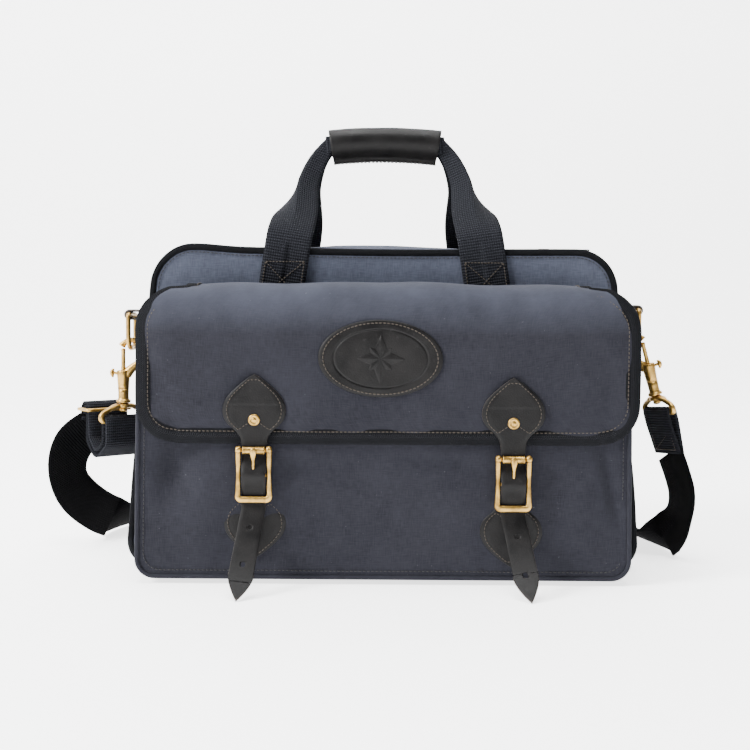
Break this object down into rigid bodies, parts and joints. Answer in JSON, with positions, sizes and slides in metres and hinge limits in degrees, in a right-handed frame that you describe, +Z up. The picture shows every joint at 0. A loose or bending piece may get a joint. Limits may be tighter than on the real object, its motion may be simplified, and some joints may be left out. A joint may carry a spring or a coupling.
{
  "type": "messenger bag",
  "caption": "Canvas messenger bag with a zipped main compartment, flapped front pocket, buckled closure straps, twin webbing handles and a clip-on shoulder strap.",
  "frame": {"origin": "middle of the base of the main compartment, on the ground", "axes": "+X to the right as the flap is faced, +Y from the flap to the back, +Z up"},
  "size_m": [0.5692, 0.3492, 0.382],
  "materials": {
    "canvas": "waxed cotton canvas, matte",
    "binding": "herringbone cotton tape",
    "webbing": "heavy cotton webbing",
    "leather": "semi-gloss, pale cut edges",
    "brass": "antiqued, worn bright on edges",
    "spring_steel": "drawn wire",
    "zip_tape": "woven tape",
    "board": "fibre board"
  },
  "bodies": {
    "root": {"main_front_panel": "canvas", "main_rear_panel": "canvas", "base_panel": "canvas", "pocket_base": "canvas", "pocket_front_panel": "canvas", "flap_heading": "canvas", "side_gusset_left": "canvas", "side_gusset_right": "canvas", "pocket_gusset_left": "canvas", "pocket_gusset_right": "canvas", "top_strip_front": "canvas", "top_strip_rear": "canvas", "front_piping": "binding", "rear_piping": "binding", "pocket_hem_tape": "binding", "strap_loop_left": "webbing", "strap_end_right": "webbing", "shoulder_strap": "webbing", "buckle_patch_left": "leather", "buckle_patch_right": "leather", "ring_tab_left": "leather", "ring_tab_right": "leather", "swivel_eye_left": "brass", "swivel_eye_right": "brass", "strap_slider": "brass", "zip_teeth_front": "brass", "zip_teeth_rear": "brass", "zip_stops": "brass", "zip_tape_front": "zip_tape", "zip_tape_rear": "zip_tape", "base_stiffener": "board"},
    "flap": {"flap_panel": "canvas", "flap_binding": "binding", "emblem_patch": "leather", "closure_strap_left": "leather", "closure_strap_right": "leather", "closure_rivet_left": "brass", "closure_rivet_right": "brass"},
    "handles": {"grip_wrap": "leather", "front_handle_webbing": "webbing", "rear_handle_webbing": "webbing"},
    "zip_slider": {"zip_slider": "brass"},
    "zip_pull": {"zip_pull": "brass", "zip_pull_leather": "leather"},
    "buckle_left": {"buckle_frame_left": "brass"},
    "roller_left": {"buckle_roller_left": "brass"},
    "tongue_left": {"buckle_tongue_left": "brass"},
    "ring_left": {"d_ring_left": "brass"},
    "hook_left": {"snap_hook_left": "brass", "snap_spring_left": "spring_steel"},
    "plunger_left": {"snap_plunger_left": "brass"},
    "buckle_right": {"buckle_frame_right": "brass"},
    "roller_right": {"buckle_roller_right": "brass"},
    "tongue_right": {"buckle_tongue_right": "brass"},
    "ring_right": {"d_ring_right": "brass"},
    "hook_right": {"snap_hook_right": "brass", "snap_spring_right": "spring_steel"},
    "plunger_right": {"snap_plunger_right": "brass"}
  },
  "joints": [
    {"name": "flap_hinge", "type": "hinge", "parent": "root", "child": "flap", "pos_m": [0, -0.092, 0.24], "axis": [-1, 0, 0], "range_deg": [0, 135], "deforming": ["closure_strap_left", "closure_strap_right"]},
    {"name": "handle_tilt", "type": "hinge", "parent": "root", "child": "handles", "pos_m": [0, 0, 0.272], "axis": [1, 0, 0], "range_deg": [-15, 15], "stiffness_Nm_per_rad": 4, "deforming": ["front_handle_webbing", "rear_handle_webbing"]},
    {"name": "zip_travel", "type": "slide", "parent": "root", "child": "zip_slider", "axis": [1, 0, 0], "range_m": [-0.28, 0]},
    {"name": "zip_pull_hinge", "type": "hinge", "parent": "zip_slider", "child": "zip_pull", "pos_m": [0.14245, 0, 0.2728], "axis": [0, -1, 0], "range_deg": [0, 165]},
    {"name": "buckle_swing_left", "type": "hinge", "parent": "root", "child": "buckle_left", "pos_m": [-0.1025, -0.1287, 0.089], "axis": [1, 0, 0], "range_deg": [0, 14]},
    {"name": "roller_spin_left", "type": "hinge", "parent": "buckle_left", "child": "roller_left", "pos_m": [-0.1025, -0.1302, 0.1087], "axis": [1, 0, 0], "continuous": true},
    {"name": "tongue_swing_left", "type": "hinge", "parent": "root", "child": "tongue_left", "pos_m": [-0.1025, -0.1287, 0.089], "axis": [1, 0, 0], "range_deg": [0, 75]},
    {"name": "ring_swing_left", "type": "hinge", "parent": "root", "child": "ring_left", "pos_m": [-0.22633, 0, 0.214], "axis": [0, 1, 0], "range_deg": [-4, 4]},
    {"name": "hook_swivel_left", "type": "hinge", "parent": "root", "child": "hook_left", "pos_m": [-0.23433, 0, 0.1805], "axis": [0, 0, 1], "range_deg": [-15, 15]},
    {"name": "plunger_slide_left", "type": "slide", "parent": "hook_left", "child": "plunger_left", "axis": [0, 0, -1], "range_m": [0, 0.008], "stiffness_N_per_m": 400, "springref_m": -0.002, "deforming": ["snap_spring_left"]},
    {"name": "buckle_swing_right", "type": "hinge", "parent": "root", "child": "buckle_right", "pos_m": [0.1025, -0.1287, 0.083], "axis": [1, 0, 0], "range_deg": [0, 14]},
    {"name": "roller_spin_right", "type": "hinge", "parent": "buckle_right", "child": "roller_right", "pos_m": [0.1025, -0.1302, 0.1027], "axis": [1, 0, 0], "continuous": true},
    {"name": "tongue_swing_right", "type": "hinge", "parent": "root", "child": "tongue_right", "pos_m": [0.1025, -0.1287, 0.083], "axis": [1, 0, 0], "range_deg": [0, 75]},
    {"name": "ring_swing_right", "type": "hinge", "parent": "root", "child": "ring_right", "pos_m": [0.22633, 0, 0.221], "axis": [0, 1, 0], "range_deg": [-4, 4]},
    {"name": "hook_swivel_right", "type": "hinge", "parent": "root", "child": "hook_right", "pos_m": [0.23356, -0.00282, 0.18944], "axis": [-0.2588, 0, 0.9659], "range_deg": [-15, 15]},
    {"name": "plunger_slide_right", "type": "slide", "parent": "hook_right", "child": "plunger_right", "axis": [0.2588, 0, -0.9659], "range_m": [0, 0.008], "stiffness_N_per_m": 400, "springref_m": -0.002, "deforming": ["snap_spring_right"]}
  ],
  "couplings": [
    {"joint": "buckle_swing_left", "follows": "flap_hinge", "ratio": 0.1},
    {"joint": "tongue_swing_left", "follows": "flap_hinge", "ratio": 0.5},
    {"joint": "buckle_swing_right", "follows": "flap_hinge", "ratio": 0.1},
    {"joint": "tongue_swing_right", "follows": "flap_hinge", "ratio": 0.5}
  ]
}
